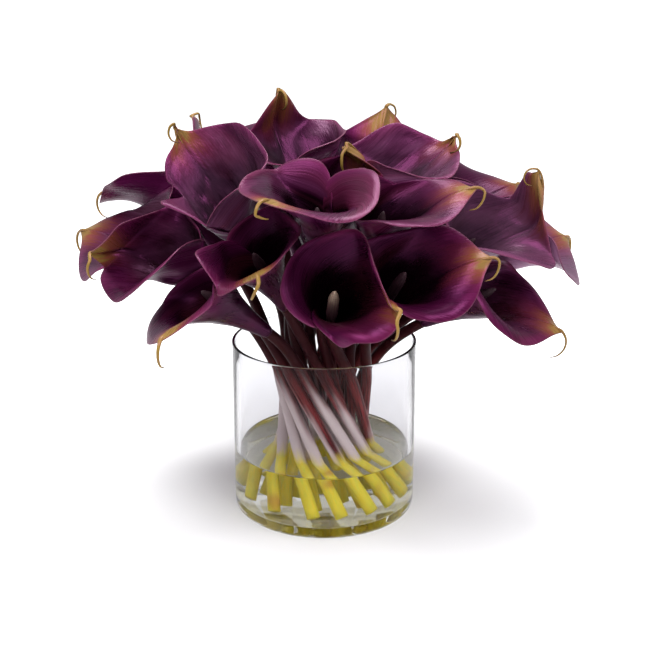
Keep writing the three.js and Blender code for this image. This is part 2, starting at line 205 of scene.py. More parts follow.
def new_piece(name, points, faces, finish, slot, *nodes, **layers):
    """A smooth piece, given in millimetres, that stands for nodes. Each layer is kept at its points."""
    mesh = bpy.data.meshes.new(name)
    mesh.from_pydata((np.asarray(points) * MM).tolist(), [], faces)
    mesh.polygons.foreach_set("use_smooth", np.ones(len(faces), bool))
    for layer, values in layers.items():
        kind, key = ("FLOAT_VECTOR", "vector") if values.ndim == 2 else ("FLOAT", "value")
        attribute = mesh.attributes.new(layer, kind, "POINT")
        attribute.data.foreach_set(key, values.astype(np.float32).ravel())
    mesh.materials.append(finish)
    piece = bpy.data.objects.new(name, mesh)
    bpy.context.scene.collection.objects.link(piece)
    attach(piece, "root")
    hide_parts(*nodes)
    return piece


INNER_RADIUS = VASE_RADIUS - VASE_WALL
vase_profile = [
    (0, KICK),
    (VASE_RADIUS - 3 * HEEL, KICK),
    (VASE_RADIUS - 2 * HEEL, 0),
    *arc((VASE_RADIUS - HEEL, HEEL), HEEL, -90, 0),
    (VASE_RADIUS, HEEL + HOLD),
    (VASE_RADIUS, VASE_HEIGHT - LIP - HOLD),
    *arc((VASE_RADIUS - LIP, VASE_HEIGHT - LIP), LIP, 0, 90),
    *arc((VASE_RADIUS - LIP_WALL + LIP, VASE_HEIGHT - LIP), LIP, 90, 180),
    (INNER_RADIUS, VASE_HEIGHT - TAPER),
    (INNER_RADIUS, VASE_FLOOR + FILLET + HOLD),
    *arc((INNER_RADIUS - FILLET, VASE_FLOOR + FILLET), FILLET, 0, -90),
    (INNER_RADIUS - FILLET - HOLD, VASE_FLOOR),
    (0, VASE_FLOOR),
]
clear_glass = clear_finish("clear_glass", GLASS_TINT, GLASS_INDEX, GLASS_WAVE_DEPTH)
new_piece("glass_vase", *spun_profile(vase_profile, VASE_SIDES), clear_glass, "vase_glass", "vase")


# The water fills the lower third of the vase. It wets the glass all round, so its skin lies just inside
# the glass, and its top climbs the wall a little.
WATER_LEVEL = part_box("water")[1].z / MM
WETTING = 0.25
CLIMB_HEIGHT = 2.0
CLIMB_WIDTH = 2.2
CLIMB_STEPS = 6
CLIMB_SPREAD = 3
CLIMB_FALL = 1.5
WATER_TINT = (0.96, 0.955, 0.82, 1)
WATER_INDEX = 1.33
WATER_WAVE_DEPTH = 0.1

wet_radius = INNER_RADIUS + WETTING
inward = np.linspace(0, CLIMB_SPREAD, CLIMB_STEPS)
rise = CLIMB_HEIGHT * np.exp(-CLIMB_FALL * inward)
climb = [(wet_radius - CLIMB_WIDTH * w, WATER_LEVEL + h) for w, h in zip(inward, rise)]
water_profile = [
    (0, VASE_FLOOR - WETTING),
    (INNER_RADIUS - FILLET - HOLD, VASE_FLOOR - WETTING),
    *arc((INNER_RADIUS - FILLET, VASE_FLOOR + FILLET), FILLET + WETTING, -90, 0),
    (wet_radius, VASE_FLOOR + FILLET + HOLD),
    (wet_radius, WATER_LEVEL + CLIMB_HEIGHT - HOLD),
    *climb,
    (wet_radius - (CLIMB_SPREAD + 1) * CLIMB_WIDTH, WATER_LEVEL),
    (wet_radius - (CLIMB_SPREAD + 2) * CLIMB_WIDTH, WATER_LEVEL),
    (0, WATER_LEVEL),
]
clear_water = clear_finish("clear_water", WATER_TINT, WATER_INDEX, WATER_WAVE_DEPTH)
new_piece("water", *spun_profile(water_profile, VASE_SIDES), clear_water, "water", "water")


# The stems are long, bare and fleshy, dark red to pale mauve above and yellow-green in the water; the pale
# mauve is partly painted sheen, and near and above the rim they are painted dark as shade under the heads.
# They are gathered in three rings and spun, so that they pass a narrow waist and spread again to their cut
# feet.
WAIST_HEIGHT = 86
TWIST_ABOVE_WAIST = 55
FOOT_HEIGHT = VASE_FLOOR + 3
OUTER = SimpleNamespace(waist=34, foot=54, leave=112)
MIDDLE = SimpleNamespace(waist=22, foot=36, leave=124)
INNER = SimpleNamespace(waist=9.5, foot=16, leave=134)
HEAD_LENGTH = 99
HEAD_DEFAULTS = {"size": 1, "turn": 0, "lift": 0, "warm": 0.25, "pale": 0.15, "crinkle": 0.25}
RIM_DEFAULTS = {"open": 1, "skew": 0, "curl_left": 0, "curl_right": 0, "rear": 0}


def lily(name, ring, azimuth, height, reach, tip, **more):
    """One flower: where its mouth is from the rim's middle, where its tip lies, and its own looks."""
    places = {"azimuth": azimuth, "height": height, "reach": reach, "tip": tip}
    return SimpleNamespace(name=name, ring=ring, **places, **{**HEAD_DEFAULTS, **RIM_DEFAULTS, **more})


lilies = [
    lily("front_centre", OUTER, -86, 34, 164, 62, size=0.91, skew=85, curl_left=10),
    lily("front_left", OUTER, -118, 43, 174, 42, size=0.92, skew=30, warm=0.5, curl_right=25, rear=-12),
    lily("left_low", OUTER, -137, 29, 168, 42, size=0.88, turn=-12, warm=0.5, curl_left=10),
    lily("left_front", OUTER, -152, 36, 183, -60, size=0.97, warm=0, pale=0.3, crinkle=0.8, curl_right=15),
    lily("left_middle", OUTER, -176, 34, 199, -50, size=1.04, pale=0.5, warm=0.4),
    lily("left_back", OUTER, 166, 44, 206, -20),
    lily("right_middle", OUTER, -60, 37, 166, 76, size=0.84, lift=4, curl_left=20, skew=45),
    lily("right_low", OUTER, -16, 22, 170, 18, size=0.84, turn=-6, pale=0.3, curl_left=35, curl_right=-25),
    lily("right_far", OUTER, 8, 27, 216, 50, size=1.0, warm=0.5, pale=1.0),
    lily("right_back", MIDDLE, 20, 44, 200, 36, size=1.0, turn=-10),
    lily("right_centre", MIDDLE, -59, 57, 176, 62, lift=6, skew=30, curl_left=10, size=0.9),
    lily("right_shoulder", MIDDLE, -9, 38, 184, 62, size=1.02, turn=-26, pale=0.9, open=1.2),
    lily("centre_top", MIDDLE, -93, 58, 193, -28, lift=7, warm=0.5, pale=0.3, crinkle=0.6, curl_left=20),
    lily("centre_right", INNER, -75, 69, 162, 130, size=0.82, warm=1.0, pale=0.2),
    lily("upper_left", MIDDLE, -146, 54, 190, -108, size=1.06, lift=-6, warm=0.5, pale=0.5, crinkle=1.0,
         skew=-50, curl_right=30),
    lily("top_centre", INNER, -138, 82, 184, -95, size=0.91, pale=0.4, crinkle=0.5,
         skew=-50, curl_right=30, rear=18),
    lily("upper_right", INNER, -16, 71, 178, 44, size=0.96, pale=0.5, crinkle=0.5),
    lily("top_right", INNER, 50, 63, 172, -146, warm=0.8, pale=0.3),
    lily("top_left", MIDDLE, 146, 66, 194, 8, size=1.08),
    lily("back_left", OUTER, 128, 30, 176, 40, pale=0.3),
    lily("back_centre", OUTER, 96, 28, 176, -60, warm=0.4),
    lily("back_right", OUTER, 54, 28, 178, 60),
    lily("back_high_left", MIDDLE, 112, 52, 180, -40, pale=0.3),
    lily("back_high_right", MIDDLE, 74, 48, 180, 80),
]


def direction(azimuth, height):
    a, h = np.radians([azimuth, height])
    return np.array([np.cos(h) * np.cos(a), np.cos(h) * np.sin(a), np.sin(h)])


def unit(vectors):
    return vectors / np.maximum(np.linalg.norm(vectors, axis=-1, keepdims=True), 1e-9)


def swung(vector, axis, angle):
    """A vector turned about an axis by an angle in radians."""
    along = axis * (axis @ vector)
    return along + (vector - along) * np.cos(angle) + np.cross(axis, vector) * np.sin(angle)


AXIS_LIFT = 9


def place_head(flower):
    """The head's foot on its stem, its axis towards the mouth, and the side that its tip is on."""
    mouth = np.array([0, 0, VASE_HEIGHT]) + direction(flower.azimuth, flower.height) * flower.reach
    rise = AXIS_LIFT * np.cos(np.radians(flower.height)) + flower.lift
    axis = direction(flower.azimuth + flower.turn, flower.height + rise)
    down = unit(axis * axis[2] - [0, 0, 1])
    tip_side = swung(down, axis, np.radians(flower.tip))
    across = np.cross(axis, tip_side)
    foot = mouth - axis * HEAD_LENGTH * flower.size
    return SimpleNamespace(foot=foot, axis=axis, tip_side=tip_side, across=across, size=flower.size)


EVENNESS = 0.4


def place_stems(ring):
    """Sets the stems of a ring part way between their heads' places and an even spacing."""
    members = sorted((f for f in lilies if f.ring is ring), key=lambda f: f.azimuth)
    step = 360 / len(members)
    start = np.mean([f.azimuth - i * step for i, f in enumerate(members)])
    for i, f in enumerate(members):
        f.waist_azimuth = f.azimuth + EVENNESS * (start + i * step - f.azimuth) + TWIST_ABOVE_WAIST


def on_ruling(flower, z):
    """A point of a stem's straight part: the rulings of a hyperboloid never meet."""
    ring = flower.ring
    slope = np.sqrt(ring.foot**2 - ring.waist**2) / (WAIST_HEIGHT - FOOT_HEIGHT)
    out = direction(flower.waist_azimuth, 0) * ring.waist
    along = direction(flower.waist_azimuth + 90, 0) * (WAIST_HEIGHT - z) * slope
    return out + along + np.array([0, 0, z])


BEND_REACH = 0.38


def stem_bend(flower, steps):
    """The stem's curve from where it leaves the straight to the foot of its head."""
    start, foot = on_ruling(flower, flower.ring.leave), flower.head.foot
    heading = unit(start - on_ruling(flower, flower.ring.leave - 10))
    span = BEND_REACH * np.linalg.norm(foot - start)
    a, b = start + heading * span, foot - flower.head.axis * span
    t = np.linspace(0, 1, steps + 1)[:, None]
    return (1 - t) ** 3 * start + 3 * t * (1 - t) ** 2 * a + 3 * t**2 * (1 - t) * b + t**3 * foot


for flower in lilies:
    flower.head = place_head(flower)
for ring in (OUTER, MIDDLE, INNER):
    place_stems(ring)
for flower in lilies:
    straight = [on_ruling(flower, FOOT_HEIGHT), on_ruling(flower, WAIST_HEIGHT)]
    flower.line = np.vstack([straight, stem_bend(flower, 6)])

STEM_RED = (0.24, 0.030, 0.032)
STEM_DARK = (0.024, 0.003, 0.005)
STEM_MAUVE = (0.64, 0.53, 0.53)
STEM_YELLOW = (0.86, 0.64, 0.05)
STEM_GREEN = (0.60, 0.61, 0.07)
STEM_ORANGE = (0.48, 0.18, 0.04)
PITH = (0.10, 0.14, 0.03)
PALE_SPREAD = 2.4
PALE_PATCHES = 0.5
PALE_LOWER = 0.020
SHEEN_PAINTED_LEFT = 0.016
PALENESS = 1.9
PAINTED_SHADE_DEPTH = 50
LINE_PATCHES = 26
LINE_STREAKS = 14
STAIN_BELOW = 5
STAIN_ABOVE = 10


def stem_finish():
    material, wire = new_finish("fleshy_stem")
    place = wire.node("TexCoord", output="Object")
    side, _, height = (part * (1 / MM) for part in place.parts())
    streaks = wire.attribute("grain").noise(1, 3, 0.6)
    fine = wire.attribute("grain").noise(5, 2, 0.6)
    patches = place.noise(38)
    tone = wire.attribute("grain").noise(0.22, 1)
    skin = streaks.eased(0.36, 0.62).blend((*STEM_DARK, 1), (*STEM_RED, 1))
    # The pale mauve is partly the stems' own tone and partly painted sheen, laid on more towards the left
    # of the bunch, where the key lamp shines.
    pale = (tone - 0.5) * PALE_SPREAD + patches * PALE_PATCHES - height * PALE_LOWER - side * SHEEN_PAINTED_LEFT
    skin = (pale + PALENESS).eased(0.0, 0.8).blend(skin, (*STEM_MAUVE, 1))
    # Painted shade: the stems darken towards the rim and are painted dark above it, as shade under the
    # heads.
    skin = height.eased(VASE_HEIGHT - PAINTED_SHADE_DEPTH, VASE_HEIGHT).blend(skin, (*STEM_DARK, 1))
    wet = fine.eased(0.35, 0.6).blend((*STEM_GREEN, 1), (*STEM_YELLOW, 1))
    wet = patches.eased(0.55, 0.75, 0, 0.7).blend(wet, (*STEM_ORANGE, 1))
    line = height + (patches - 0.5) * LINE_PATCHES + (streaks - 0.5) * LINE_STREAKS
    colour = line.eased(WATER_LEVEL - STAIN_BELOW, WATER_LEVEL + STAIN_ABOVE).blend(wet, skin)
    colour = wire.attribute("pith", "Fac").blend(colour, (*PITH, 1))
    sockets = {
        "Base Color": colour,
        "Roughness": streaks.eased(0.2, 0.8, 0.36, 0.52),
        "Specular IOR Level": 0.12,
        "Specular Tint": (1.0, 0.6, 0.6, 1),
        "Normal": wire.bump(fine, 0.35, 0.6),
    }
    surface = wire.node("BsdfPrincipled", {}, sockets)
    wire.node("OutputMaterial", {}, {"Surface": surface})
    return material


def tube(points, radii, sides, flatness=1.0, wide=None):
    """A closed tube along a line of points, with a radius at each."""
    headings = unit(np.gradient(points, axis=0))
    if wide is None:
        wide = np.array([1.0, 0, 0]) if abs(headings[0][2]) > 0.9 else np.array([0, 0, 1.0])
    spin = np.linspace(0, 2 * np.pi, sides, endpoint=False)
    rings = []
    for point, heading, radius in zip(points, headings, radii):
        wide = unit(wide - heading * (heading @ wide))
        thick = np.cross(heading, wide) * flatness
        rings.append(point + radius * (np.outer(np.cos(spin), wide) + np.outer(np.sin(spin), thick)))
    return np.vstack([*rings, points[:1], points[-1:]]), joined_rings(len(rings), sides)


def lengths_along(points):
    return np.concatenate([[0], np.cumsum(np.linalg.norm(np.diff(points, axis=0), axis=1))])


STEM_RADIUS = 4.6
STEM_FOOT_RADIUS = 5.2
STEM_NECK_RADIUS = 4.3
STEM_SIDES = 28
STRAIGHT_STEPS = 14
CURVED_STEPS = 30
NECK_SINK = 9
FOOT_STEPS = 4
RIND = 0.76
RIND_EDGE = 0.3
CUT_HEIGHTS = (1.5, 0.9, 0.0, 0.4)
GRAIN_ROUND = 2.5
GRAIN_STEP = 7
GRAIN_ALONG = 0.02
fleshy_stem = stem_finish()
for number, flower in enumerate(lilies):
    heights = np.linspace(FOOT_HEIGHT, flower.ring.leave, STRAIGHT_STEPS, endpoint=False)
    straight = np.array([on_ruling(flower, z) for z in heights])
    neck = flower.head.foot + flower.head.axis * NECK_SINK
    line = np.vstack([straight, stem_bend(flower, CURVED_STEPS), neck])
    steps = [0, FOOT_STEPS, STRAIGHT_STEPS, len(line) - 1]
    radii = [STEM_FOOT_RADIUS, STEM_RADIUS, STEM_RADIUS, STEM_NECK_RADIUS]
    radii = np.interp(np.arange(len(line)), steps, radii)
    rise = unit(line[1] - line[0])
    cut = [line[0] + rise * height for height in CUT_HEIGHTS]
    rind = RIND * STEM_FOOT_RADIUS
    cut_radii = [rind / 2, rind, rind + RIND_EDGE, STEM_FOOT_RADIUS]
    line = np.vstack([cut, line[1:]])
    points, faces = tube(line, [*cut_radii, *radii[1:]], STEM_SIDES)
    spin = np.tile(np.linspace(0, 2 * np.pi, STEM_SIDES, endpoint=False), len(line))
    length = np.repeat(lengths_along(line), STEM_SIDES) * GRAIN_ALONG
    start = GRAIN_STEP * number
    grain = np.stack([GRAIN_ROUND * np.cos(spin) + start, GRAIN_ROUND * np.sin(spin), length], 1)
    grain = np.vstack([grain, grain[:1], grain[-1:]])
    pith = np.zeros(len(points))
    pith[: 2 * STEM_SIDES] = 1
    pith[-2] = 1
    node = "stem_" + flower.name
    new_piece("cut_" + node, points, faces, fleshy_stem, "stem", node, grain=grain, pith=pith)


# Each stem ends in a spadix, a fleshy finger packed with tiny florets, which stands free in the funnel.
# Most are painted dark, as shade within the funnel, two are cream and one is olive.
SPADIX_HEIGHTS = [3, 8, 14, 26, 50, 57, 61, 62.3]
SPADIX_RADII = [3.2, 3.3, 3.5, 4.3, 3.9, 2.7, 1.3, 0.3]
SPADIX_SIDES = 40
SPADIX_RINGS = 58
SPADIX_SHOULDER = 58
SPADIX_TOP = [59.2, 60.2, 61.1, 61.7, 62.1, 62.3]
FLORET_RISE = 0.28
FLORETS_RIGHT = 8
FLORETS_LEFT = 5
FLORET_STEP = 2.4
CREAM = (0.62, 0.50, 0.33)
BLUSH = (0.38, 0.17, 0.20)
OLIVE = (0.30, 0.23, 0.06)
SHADED = (0.03, 0.008, 0.014)
OLIVE_SHARES = {"front_centre": 0.0, "left_front": 0.0, "upper_left": 0.9}


def spadix_finish():
    material, wire = new_finish("spadix")
    floret, height, olive = wire.attribute("florets").parts()
    shaded = wire.attribute("shaded", "Fac")
    cream = height.colours((0.0, BLUSH), (0.45, BLUSH), (0.9, CREAM), (1.0, CREAM))
    colour = olive.blend(cream, (*OLIVE, 1))
    colour = floret.eased(-0.6, 0.5, 0.75, 0).blend(colour, (*BLUSH, 1))
    # Painted shade: a shaded spadix is painted this dark all over.
    colour = shaded.blend(colour, (*SHADED, 1))
    sockets = {"Base Color": colour, "Roughness": floret.eased(-1, 1, 0.75, 0.5)}
    surface = wire.node("BsdfPrincipled", {}, sockets)
    wire.node("OutputMaterial", {}, {"Surface": surface})
    return material


heights = np.linspace(SPADIX_HEIGHTS[0], SPADIX_SHOULDER, SPADIX_RINGS)
heights = np.concatenate([heights, SPADIX_TOP])
radii = np.interp(heights, SPADIX_HEIGHTS, SPADIX_RADII)
spin = np.linspace(0, 2 * np.pi, SPADIX_SIDES, endpoint=False)
a, z = spin[None, :], 2 * np.pi * heights[:, None] / FLORET_STEP
floret = np.sin(FLORETS_RIGHT * a + 0.5 * z) * np.sin(FLORETS_LEFT * a - 0.5 * z)
rise = FLORET_RISE * floret * np.minimum(radii / 2, 1)[:, None]
share = np.repeat(heights / heights[-1], SPADIX_SIDES)
spadix_skin = spadix_finish()
for flower in lilies:
    line = flower.head.foot + heights[:, None] * flower.head.axis
    points, faces = tube(line, radii, SPADIX_SIDES)
    outward = points[:-2].reshape(len(line), SPADIX_SIDES, 3) - line[:, None]
    points[:-2] += (unit(outward) * rise[..., None]).reshape(-1, 3)
    olive = OLIVE_SHARES.get(flower.name, 0)
    florets = np.stack([floret.ravel(), share, olive + 0 * share], 1)
    florets = np.vstack([florets, florets[:1], florets[-1:]])
    shaded = np.full(len(points), float(flower.name not in OLIVE_SHARES))
    layers = {"florets": florets, "shaded": shaded}
    node = "stem_" + flower.name
    new_piece("spadix_" + flower.name, points, faces, spadix_skin, "spathe", node, **layers)


# Each spathe is one thick satin leaf, rolled into a funnel round the spadix. One edge laps over the other
# at the front, the rim rolls outward, and the tip at the back runs out into a thin hooked tail.
HEAD_FOOT_RADIUS = 5.4
MOUTH_RADIUS = 45
FRONT_BLADE = 88
BACK_BLADE = 114
CUSP = 19
CUSP_WIDTH = 0.34
SPIKE_WIDTH = 0.09
NOTCH = 18
NOTCH_WIDTH = 0.6


def blade_length(theta):
    """Length of the blade from its foot: theta is 0 at the tip and half a turn at the front."""
    back = ((1 + np.cos(theta)) / 2) ** 0.9
    cusp = CUSP / 2 * (np.exp(-np.abs(theta) / CUSP_WIDTH) + np.exp(-np.abs(theta) / SPIKE_WIDTH))
    notch = NOTCH * np.exp(-(np.pi - np.abs(theta)) / NOTCH_WIDTH)
    return FRONT_BLADE + (BACK_BLADE - FRONT_BLADE) * back + cusp - notch


FUNNEL_FROM = 50
FOOT_LEAN = 7
TUBE_LEAN = 15
FLARE = 38
SIDE_FLARE = 24
WAVE = 10
SLOW_WAVE = 10
TIP_DROOP = 20
TIP_WIDTH = 0.4
REAR_WIDTH = 0.9
DROOP_FROM = 0.7
RIM_ROLL = 16
SHOULDER_ROLL = 26
SHOULDER = 0.78
SHOULDER_WIDTH = 0.4
ROLL_FROM = 0.7
RUFFLE = 5


def blade_angle(theta, t, flower):
    """Radians that the blade leans out from the head's axis, at t along it."""
    side = np.sin(theta) ** 2
    tube_lean = FOOT_LEAN + TUBE_LEAN * np.minimum(t / FUNNEL_FROM, 1)
    share = np.clip((t - FUNNEL_FROM) / (blade_length(theta) - FUNNEL_FROM), 0, 1)
    flare = (FLARE + SIDE_FLARE * side) * flower.open * share**1.3
    wave = WAVE * np.sin(3 * theta + flower.azimuth) * side * share
    wave += SLOW_WAVE * np.sin(2 * theta + 1.3 * flower.azimuth) * side * share
    near_tip = np.exp(-((theta / TIP_WIDTH) ** 2))
    droop = TIP_DROOP * near_tip * np.maximum(share - DROOP_FROM, 0) / (1 - DROOP_FROM)
    droop += flower.rear * np.exp(-((theta / REAR_WIDTH) ** 2)) * share
    rim = np.maximum(share - ROLL_FROM, 0) / (1 - ROLL_FROM)
    curl = np.where(theta < 0, flower.curl_left, flower.curl_right) * np.sin(theta / 2) ** 2 * side
    shoulders = SHOULDER_ROLL * np.exp(-(((np.abs(theta) - SHOULDER) / SHOULDER_WIDTH) ** 2))
    roll = (RIM_ROLL * (0.3 + 0.7 * side) + shoulders + 2 * curl) * rim**1.3 * (1 - near_tip)
    ruffle = RUFFLE * np.sin(7 * theta + 2 * flower.azimuth) * side * share**3
    return np.radians(tube_lean + flare + wave + droop + roll + ruffle)


LAP_AT_FOOT = 0.16
LAP_AT_RIM = 0.03
LAP_RISE = 1.5
LAP_RISE_AT_FOOT = 0.35
PROFILE_STEPS = 120


def in_head(head, theta, rho, z):
    """Places round a head's axis as points."""
    round_axis = np.cos(theta)[..., None] * head.tip_side + np.sin(theta)[..., None] * head.across
    return head.foot + rho[..., None] * round_axis + z[..., None] * head.axis


def rolled_blade(flower, u, s):
    """Middle of the blade, at u of half a turn from the tip and s of its length: theta, rho and z."""
    theta = np.pi * u[:, None]
    step = blade_length(theta) / PROFILE_STEPS
    angle = blade_angle(theta, (np.arange(PROFILE_STEPS) + 0.5) * step, flower)
    shares = np.linspace(0, 1, PROFILE_STEPS + 1)
    rho, z = (np.cumsum(part * step * flower.size, axis=1) for part in (np.sin(angle), np.cos(angle)))
    rho, z = (np.pad(part, ((0, 0), (1, 0))) for part in (rho, z))
    rho, z = (np.stack([np.interp(s, shares, row) for row in part]) for part in (rho, z))
    lap = LAP_RISE * u[:, None] ** 3 * (LAP_RISE_AT_FOOT + (1 - LAP_RISE_AT_FOOT) * s)
    theta = theta * (1 + LAP_AT_FOOT + (LAP_AT_RIM - LAP_AT_FOOT) * s)
    theta = theta + np.radians(flower.skew) * np.sin(np.pi / 2 * u[:, None]) ** 2 * s
    return theta, HEAD_FOOT_RADIUS + rho + lap, z


HEAD_OUTLINE_RADII = np.array([0, 6, 9, 17, 26, 37, MOUTH_RADIUS, 34, 0])
HEAD_OUTLINE_HEIGHTS = np.array([-4, -2, 16, 48, 68, 83, 93, 104, 110])


def nearest_gap(points, line):
    """From the nearest point of a line of points to each point."""
    starts, runs = line[:-1], np.diff(line, axis=0)
    offset = points[:, None] - starts
    t = np.clip((offset * runs).sum(2) / (runs**2).sum(1), 0, 1)
    gaps = offset - t[..., None] * runs
    nearest = np.argmin((gaps**2).sum(2), axis=1)
    return gaps[np.arange(len(points)), nearest]


def outside_head(points, head):
    """How far points lie outside the room of a head, less than 0 inside it, and the way out."""
    local = points - head.foot
    z = local @ head.axis / head.size
    side = local - np.outer(z * head.size, head.axis)
    r = np.linalg.norm(side, axis=1) / head.size
    gap = nearest_gap(np.stack([r, z], 1), np.stack([HEAD_OUTLINE_RADII, HEAD_OUTLINE_HEIGHTS], 1))
    inside = (z >= HEAD_OUTLINE_HEIGHTS[0]) & (z < HEAD_OUTLINE_HEIGHTS[-1])
    inside &= r < np.interp(z, HEAD_OUTLINE_HEIGHTS, HEAD_OUTLINE_RADII)
    sign = np.where(inside, -1, 1)
    outward = unit(gap) * sign[:, None]
    way = unit(side) * outward[:, :1] + head.axis * outward[:, 1:]
    return sign * np.linalg.norm(gap, axis=1) * head.size, way


def outside_stem(points, line):
    gap = nearest_gap(points, line)
    return np.linalg.norm(gap, axis=1) - STEM_FOOT_RADIUS, unit(gap)


def outside_vase(points):
    r = np.linalg.norm(points[:, :2], axis=1)
    dr = r - np.clip(r, INNER_RADIUS, VASE_RADIUS)
    dz = np.maximum(points[:, 2] - VASE_HEIGHT, 0)
    distance = np.hypot(dr, dz)
    way = np.stack([points[:, 0] / r * dr, points[:, 1] / r * dr, dz], 1)
    touching = distance == 0
    way[touching] = [0, 0, 1]
    return np.where(touching, -1, distance), unit(way)


PETAL_GAP = 4
STEM_GAP = 3
RIM_GAP = 2
PETAL_SOFTNESS = 2
CLEARING_ROUNDS = 14
CLEARING_RATE = 0.6


def bend_clear(points, flower):
    """Points of a petal moved clear of its neighbours, the stems and the rim, a little in each round."""
    moved = np.array(points, float)
    for _ in range(CLEARING_ROUNDS):
        own, own_way = outside_head(moved, flower.head)

        def push(distance, way, gap, shared):
            lack = gap + shared * own - distance
            soft = (lack + PETAL_SOFTNESS) ** 2 / (4 * PETAL_SOFTNESS)
            amount = np.where(lack < -PETAL_SOFTNESS, 0, np.where(lack < PETAL_SOFTNESS, soft, lack))
            way = way - shared * own_way
            gain = np.maximum(np.linalg.norm(way, axis=1), 0.5)
            moved[:] += unit(way) * (CLEARING_RATE * amount / gain)[:, None]

        for other in lilies:
            if other is not flower:
                push(*outside_head(moved, other.head), PETAL_GAP, 1)
                push(*outside_stem(moved, other.line), STEM_GAP, 1)
        push(*outside_vase(moved), RIM_GAP, 0)
    return moved


def spline(values, count):
    """Rows of values drawn out to a larger count of rows on a smooth curve through them."""
    last = len(values) - 1
    places = np.linspace(0, last, count)
    k = np.clip(places.astype(int), 0, last - 1)
    t = (places - k).reshape(-1, *[1] * (values.ndim - 1))
    before, start, end, after = (values[np.clip(k + i, 0, last)] for i in (-1, 0, 1, 2))
    bend = 2 * before - 5 * start + 4 * end - after + t * (3 * (start - end) + after - before)
    return start + t / 2 * (end - before + t * bend)


def softened(grid):
    """A grid of vectors with each averaged with its neighbours."""
    for axis in (0, 1):
        grid = np.moveaxis(grid, axis, 0)
        grid = (np.vstack([grid[:1], grid[:-1]]) + 2 * grid + np.vstack([grid[1:], grid[-1:]])) / 4
        grid = np.moveaxis(grid, 0, axis)
    return grid


COLUMNS = 97
ROWS = 44
BEND_COLUMNS = 33
BEND_ROWS = 16


def columns_at(w):
    return np.sign(w) * np.abs(w) ** 1.35


def rows_at(v):
    return v**0.8


def bend_of_blade(flower):
    """How far each point of a blade is moved clear, worked out on a coarse grid."""
    u = columns_at(np.linspace(-1, 1, BEND_COLUMNS))
    s = rows_at(np.linspace(0, 1, BEND_ROWS))
    points = in_head(flower.head, *rolled_blade(flower, u, s))
    moved = bend_clear(points.reshape(-1, 3), flower).reshape(points.shape)
    bend = softened(moved - points)
    bend = np.moveaxis(spline(bend, COLUMNS), 1, 0)
    return np.moveaxis(spline(bend, ROWS), 0, 1)


def surface_normals(grid):
    return unit(np.cross(np.gradient(grid, axis=0), np.gradient(grid, axis=1)))


def widened(grid, reach):
    """A grid carried on past its last row and its two side columns, by each reach in turn."""
    for step in reach:
        ahead = unit(grid[:, -1] - grid[:, -3]) * step
        grid = np.concatenate([grid, (grid[:, -1] + ahead)[:, None]], 1)
        left, right = unit(grid[0] - grid[2]) * step, unit(grid[-1] - grid[-3]) * step
        grid = np.concatenate([(grid[0] + left)[None], grid, (grid[-1] + right)[None]], 0)
    return grid


def sheet(grid, thickness):
    """Both sides of a leaf about its middle grid as one closed skin: points, faces, and points' sides."""
    columns, rows = grid.shape[:2]
    half = surface_normals(grid) * thickness[..., None] / 2
    index = np.arange(columns * rows).reshape(columns, rows)
    faces = []
    for shift, order in ((0, 1), (columns * rows, -1)):
        a, b = index[:-1, :-1] + shift, index[1:, :-1] + shift
        c, d = index[1:, 1:] + shift, index[:-1, 1:] + shift
        faces += np.stack([a, b, c, d][::order], -1).reshape(-1, 4).tolist()
    edge = [*index[:-1, 0], *index[-1, :-1], *index[:0:-1, -1], *index[0, :0:-1]]
    for a, b in zip(edge, edge[1:] + edge[:1]):
        faces.append((b, a, a + columns * rows, b + columns * rows))
    points = np.concatenate([grid + half, grid - half]).reshape(-1, 3)
    inside = np.repeat([0.0, 1.0], columns * rows)
    return points, faces, inside


TAIL_STEPS = 5
TAIL_STEP = 5.5
TAIL_HOOK = 75
TAIL_RINGS = 30
TAIL_SIDES = 14
TAIL_FLATNESS = 0.75
TAIL_PLACES = [0, 9, 14, 20, 36, 44]
TAIL_RADII = [0.4, 1.1, 1.7, 1.4, 0.9, 0.45]


def tail(flower, middle):
    """The tail's tube, which leaves the blade under its midrib, droops and hooks back under."""
    edge = middle[-1]
    heading = unit(edge - middle[-7])
    level = unit(heading * [1, 1, 0])
    hinge = np.cross(level, [0, 0, -1.0])
    droop = np.arcsin(heading[2]) + np.radians(90 + TAIL_HOOK)
    points = [middle[-12], middle[-6], edge - heading]
    for k in range(TAIL_STEPS):
        heading = swung(heading, hinge, droop / TAIL_STEPS)
        points.append(bend_clear(points[-1][None] + heading * TAIL_STEP, flower)[0])
    line = spline(np.array(points), TAIL_RINGS)
    along = lengths_along(line)
    radii = np.interp(along * TAIL_PLACES[-1] / along[-1], TAIL_PLACES, TAIL_RADII)
    skin, faces = tube(line, radii, TAIL_SIDES, TAIL_FLATNESS, hinge)
    past_edge = along - along[np.argmin(np.linalg.norm(line - edge, axis=1))]
    return skin, faces, np.append(np.repeat(-past_edge, TAIL_SIDES), [-past_edge[0], -past_edge[-1]])


PLUM = (0.032, 0.002, 0.017)
PLUM_DARK = (0.002, 0.0002, 0.001)
PLUM_RED = (0.08, 0.006, 0.038)
MAUVE_DARK = (0.018, 0.001, 0.010)
MAUVE = (0.094, 0.006, 0.054)
MAUVE_PALE = (0.30, 0.14, 0.25)
CRIMSON = (0.13, 0.016, 0.032)
RUST = (0.19, 0.05, 0.022)
TAN = (0.25, 0.15, 0.035)
TAIL_OLIVE = (0.25, 0.16, 0.035)
TAIL_BROWN = (0.04, 0.02, 0.01)
MARGIN_PINK = (0.12, 0.035, 0.06)
BLADE_SPAN = 110
TIP_SPAN = 72
TAIL_SPAN = 36
WARM_REACH = 15
SEED_STEP = 13.0
FLUSH_SEED = 5


